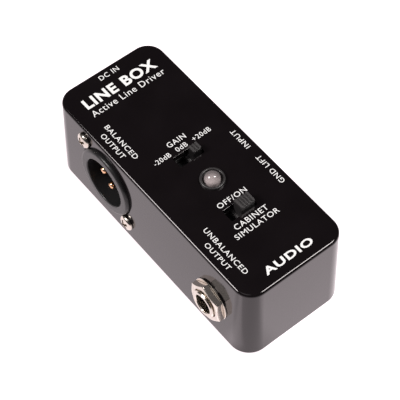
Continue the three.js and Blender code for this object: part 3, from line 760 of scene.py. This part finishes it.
def balancedOutput():
    ring, bore, proud = xlrSet["ring"], xlrSet["bore"], xlrSet["proud"]
    seat, back, rear = -19 * mm, -22 * mm, bore - 1 * mm
    profile = [(rear, back), (ring, back)]
    profile += arc(ring - 0.95 * mm, proud - 0.95 * mm, 0.95 * mm, 0, 90)
    profile += arc(bore + 0.45 * mm, proud - 0.45 * mm, 0.45 * mm, 90, 180)
    profile += [(bore, seat), (rear, seat), (rear, back)]
    housing = turned("balanced_output_housing", profile, 128)
    key = block("key", (-1 * mm, bore - 1 * mm, -14 * mm), (1 * mm, bore + 1 * mm, -0.6 * mm))
    softEdges(key, 0.25 * mm, 35, 3)
    cutBy(housing, key, "UNION")
    flange = block("flange", (-12.5 * mm, -12.6 * mm, -5 * mm), (12.5 * mm, 12.6 * mm, -2.3 * mm))
    middle = turned("hole", [(0, -6 * mm), (ring - 1 * mm, -6 * mm), (ring - 1 * mm, 0), (0, 0)], 64)
    cutBy(flange, middle)
    for sign in (-1, 1):
        hole = turned("hole", [(0, -6 * mm), (1.65 * mm, -6 * mm), (1.65 * mm, 0), (0, 0)], 24)
        spot = Matrix.Translation((sign * xlrSet["screw"], -sign * xlrSet["screw"], 0))
        cutBy(flange, moved(hole, spot))
    cutBy(housing, flange, "UNION")
    moved(housing, xlrFrame)
    smooth(housing, 40)
    hand(housing, "box", "connector_plastic", "xlr_housing")

    disc = turned("balanced_output_insert", [(0, -18.9 * mm), (bore - 0.15 * mm, -18.9 * mm),
                                             (bore - 0.15 * mm, -15.2 * mm), (bore - 0.35 * mm, -15 * mm),
                                             (0, -15 * mm)], 72)
    pinSpots = [(xlrSet["pitch"], 0), (-xlrSet["pitch"], 0), (0, -xlrSet["pitch"])]
    for across, up in pinSpots:
        around = 1.35 * mm
        hole = turned("hole", [(0, -20 * mm), (around, -20 * mm), (around, -10 * mm), (0, -10 * mm)], 24)
        cutBy(disc, moved(hole, Matrix.Translation((across, up, 0))))
    moved(disc, xlrFrame)
    smooth(disc)
    hand(disc, "box", "connector_plastic", "xlr_insert")

    for number, (across, up) in enumerate(pinSpots, 1):
        profile = [(0, -22 * mm), (0.8 * mm, -22 * mm), (0.8 * mm, -24.3 * mm), (1.0 * mm, -24.5 * mm),
                   (1.2 * mm, -24.3 * mm)]
        profile += arc(0.35 * mm, -1.85 * mm, 0.85 * mm, 0, 90, 8) + [(0, -1 * mm)]
        pin = turned(f"output_pin_{number}", profile, 40)
        moved(pin, xlrFrame @ Matrix.Translation((across, up, 0)))
        smooth(pin, 50)
        hand(pin, "box", "gold_plate", f"xlr_pin_{number}")

    for number, sign in ((1, -1), (2, 1)):
        head, top, rim = xlrScrewSet["head"], xlrScrewSet["top"], xlrScrewSet["rim"]
        profile = [(0, -7 * mm), (1.4 * mm, -7 * mm), (1.4 * mm, 0.05 * mm), (head - 0.1 * mm, 0.05 * mm),
                   (head, 0.15 * mm), (head, rim)]
        profile += [(head * math.cos(math.radians(step)), rim + (top - rim) * math.sin(math.radians(step)))
                    for step in range(12, 90, 12)] + [(0, top)]
        screw = turned(f"output_screw_{number}", profile, 48)
        for long, wide in (xlrScrewSet["cross"], xlrScrewSet["cross"][::-1]):
            cutBy(screw, block("cross", (-long, -wide, 0.45 * mm), (long, wide, 3 * mm)))
        softEdges(screw, 0.05 * mm, 40, 2)
        turn = Matrix.Rotation(math.radians(35), 4, "Z")
        spot = Matrix.Translation((sign * xlrSet["screw"], -sign * xlrSet["screw"], 0))
        moved(screw, xlrFrame @ spot @ turn)
        smooth(screw, 40)
        hand(screw, "box", "nickel", f"xlr_screw_{number}")


# quarter-inch jacks

def jackHardware(name, where):
    bore, thread, proud = jackSet["bore"], jackSet["thread"], jackSet["proud"]
    profile = [(bore, -5 * mm), (thread, -5 * mm)]
    pitch, depth = 0.75 * mm, 0.22 * mm
    height = -1.6 * mm
    while height < proud - pitch:  # the thread, as rings
        profile += [(thread, height), (thread - depth, height + pitch / 2)]
        height += pitch
    profile += [(thread, proud - 0.45 * mm), (thread - 0.3 * mm, proud - 0.05 * mm)]
    profile += arc(bore + 0.5 * mm, proud - 0.5 * mm, 0.5 * mm, 90, 180) + [(bore, -5 * mm)]
    bushing = moved(turned(f"{name}_bushing", profile, 72), where)
    smooth(bushing, 28)
    hand(bushing, "box", "nickel", f"{name}_jack_bushing")

    low, top = 0.05 * mm, jackSet["washer"]
    edge = 0.1 * mm
    profile = [(thread + 0.15 * mm, low), (7 * mm - edge, low), (7 * mm, low + edge), (7 * mm, top - edge),
               (7 * mm - edge, top), (thread + 0.15 * mm, top), (thread + 0.15 * mm, low)]
    washer = moved(turned(f"{name}_washer", profile, 96), where)
    smooth(washer)
    hand(washer, "box", "nickel", f"{name}_jack_washer")

    foot, face = jackSet["washer"] + 0.05 * mm, jackSet["nut"]
    corner = jackSet["flats"] / math.sqrt(3)
    bpy.ops.object.select_all(action="DESELECT")
    bpy.ops.mesh.primitive_cylinder_add(vertices=6, radius=corner, depth=face - foot,
                                        location=(0, 0, (face + foot) / 2))
    nut = bpy.context.object
    nut.name = f"{name}_nut"
    fixPlace(nut)
    flat = jackSet["flats"] / 2
    blank = turned("blank", [(0, foot), (corner + 0.1 * mm, foot), (corner + 0.1 * mm, face - 0.62 * mm),
                             (flat - 0.15 * mm, face), (0, face)], 96)
    cutBy(nut, blank, "INTERSECT")
    hole = [(0, foot - 1 * mm), (thread + 0.1 * mm, foot - 1 * mm), (thread + 0.1 * mm, face - 0.3 * mm),
            (thread + 0.6 * mm, face + 0.2 * mm), (0, face + 0.2 * mm)]
    cutBy(nut, turned("hole", hole, 72))
    softEdges(nut, 0.07 * mm, 25, 2)
    moved(nut, where @ Matrix.Rotation(math.radians(jackSet["turn"]), 4, "Z"))
    smooth(nut, 30)
    hand(nut, "box", "nickel", f"{name}_jack_nut")


# ground lift button and supply socket

def liftButton():
    low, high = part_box("ground_lift_button")
    cap, front, seat = 2.45 * mm, high.x - halfWidth(liftMiddle.z), -1.8 * mm
    profile = [(0, seat), (cap, seat)] + arc(cap - 0.45 * mm, front - 0.45 * mm, 0.45 * mm, 0, 90)
    profile += [(1.5 * mm, front), (1.2 * mm, front - 0.12 * mm), (0, front - 0.16 * mm)]
    button = turned("lift_button", profile, 72)
    stem = block("stem", (-1.4 * mm, -1.4 * mm, -10 * mm), (1.4 * mm, 1.4 * mm, seat + 0.5 * mm))
    cutBy(button, stem, "UNION")
    moved(button, liftFrame)
    smooth(button, 40)
    hand(button, "ground_lift_button", "control_plastic", "ground_lift_button")


def supplySocket():
    half, tall, front, back, floorDepth = 4.9 * mm, 5.5 * mm, -2.4 * mm, -12 * mm, -10 * mm
    body = block("supply_socket", (-half, -tall, back), (half, tall, front))
    nose = turned("nose", [(0, front - 1 * mm), (5 * mm, front - 1 * mm), (5 * mm, -0.4 * mm)]
                  + arc(4.65 * mm, -0.4 * mm, 0.35 * mm, 0, 90) + [(0, -0.05 * mm)], 96)
    cutBy(body, nose, "UNION")
    bore = [(0, floorDepth), (2.95 * mm, floorDepth), (2.95 * mm, -0.5 * mm), (3.5 * mm, 0.05 * mm),
            (3.5 * mm, 1 * mm), (0, 1 * mm)]
    cutBy(body, turned("bore", bore, 72))
    around, below, above = 1.15 * mm, back - 1 * mm, floorDepth + 1 * mm
    cutBy(body, turned("hole", [(0, below), (around, below), (around, above), (0, above)], 32))
    cutBy(body, block("slot", (-half - 1 * mm, -1.3 * mm, floorDepth + 0.5 * mm),
                      (-2.2 * mm, 1.3 * mm, floorDepth + 6.6 * mm)))
    moved(body, supplyFrame)
    smooth(body, 40)
    hand(body, "box", "connector_plastic", "dc_jack_body")
    tip = -1.3 * mm
    profile = [(0, back - 0.6 * mm), (1 * mm, back - 0.6 * mm)]
    profile += arc(0.6 * mm, tip - 0.4 * mm, 0.4 * mm, 0, 90) + [(0.3 * mm, tip), (0.3 * mm, tip - 2 * mm),
                                                               (0, tip - 2 * mm)]
    pin = moved(turned("supply_pin", profile, 48), supplyFrame)
    smooth(pin, 40)
    hand(pin, "box", "nickel", "dc_jack_pin")


# printed legends: words, middle, width, height of the capitals, turn and weight

legendSet = [
    ("DC IN", 0, 43, 7.0, 1.8, 0, 0.004),
    ("LINE BOX", 0.15, 37.65, 26.5, 4.0, 0, 0.07),
    ("Active Line Driver", 0.2, 33.4, 27.0, 2.3, 0, 0.0),
    ("BALANCED", -12.5, 20.0, 15.0, 1.7, -90, 0.004),
    ("OUTPUT", -15.35, 20.35, 10.7, 1.7, -90, 0.004),
    ("GAIN", 0.35, 10.2, 6.5, 1.9, 0, 0.004),
    ("-20dB", -7.0, 7.45, 6.0, 1.7, 0, 0.004),
    ("0dB", 0.2, 7.45, 4.0, 1.7, 0, 0.004),
    ("+20dB", 7.7, 7.45, 6.6, 1.7, 0, 0.004),
    ("OFF/ON", 0.3, -15.85, 10.4, 1.8, 0, 0.004),
    ("CABINET", 0.4, -24.45, 12.0, 1.9, 0, 0.004),
    ("SIMULATOR", 0.35, -27.2, 15.8, 1.8, 0, 0.004),
    ("UNBALANCED", -12.4, -28.65, 18.7, 1.7, -90, 0.004),
    ("OUTPUT", -15.25, -28.65, 10.7, 1.6, -90, 0.004),
    ("INPUT", 15.5, -1.25, 7.9, 1.7, 90, 0.004),
    ("GND LIFT", 15.5, -15.1, 11.8, 1.7, 90, 0.004),
    ("AUDIO", 0.25, -41.0, 17.5, 2.6, 0, 0.06),
]
inkDepth = 0.03 * mm


def printLegend(words, x, y, width, height, turn, weight):
    bpy.ops.object.select_all(action="DESELECT")
    bpy.ops.object.text_add()
    label = bpy.context.object
    label.data.body = words
    label.data.align_x = "CENTER"
    label.data.align_y = "CENTER"
    label.data.offset = weight * 0.5
    label.data.space_character = 1.12
    label.data.extrude = 0.5
    label.data.resolution_u = 4
    bpy.ops.object.convert(target="MESH")
    spots = [vertex.co for vertex in label.data.vertices]
    low = Vector([min(spot[axis] for spot in spots) for axis in range(3)])
    high = Vector([max(spot[axis] for spot in spots) for axis in range(3)])
    size = high - low
    label.name = "legend_" + "".join(c if c.isalnum() else "_" for c in words.lower()) + f"_{len(allMade)}"
    fit = Matrix.Diagonal((width * mm / size.x, height * mm / size.y, inkDepth / size.z, 1))
    spin = Matrix.Rotation(math.radians(turn), 4, "Z")
    place = Matrix.Translation((x * mm, y * mm, topZ + inkDepth / 2))
    label.matrix_world = place @ spin @ fit @ Matrix.Translation(-(low + high) / 2)
    hand(label, "box", "legend_ink")


castShell()
closePlate()
for switchName, switchSpec in switchSet.items():
    slideLever(switchName, switchSpec)
lamp()
print("shell, plate, levers and lamp modelled")
balancedOutput()
for jackName, jackFrame in jackFrames.items():
    jackHardware(jackName, jackFrame)
liftButton()
supplySocket()
print("connectors modelled")
for legend in legendSet:
    printLegend(*legend)
print("legends printed,", len(allMade), "pieces made")
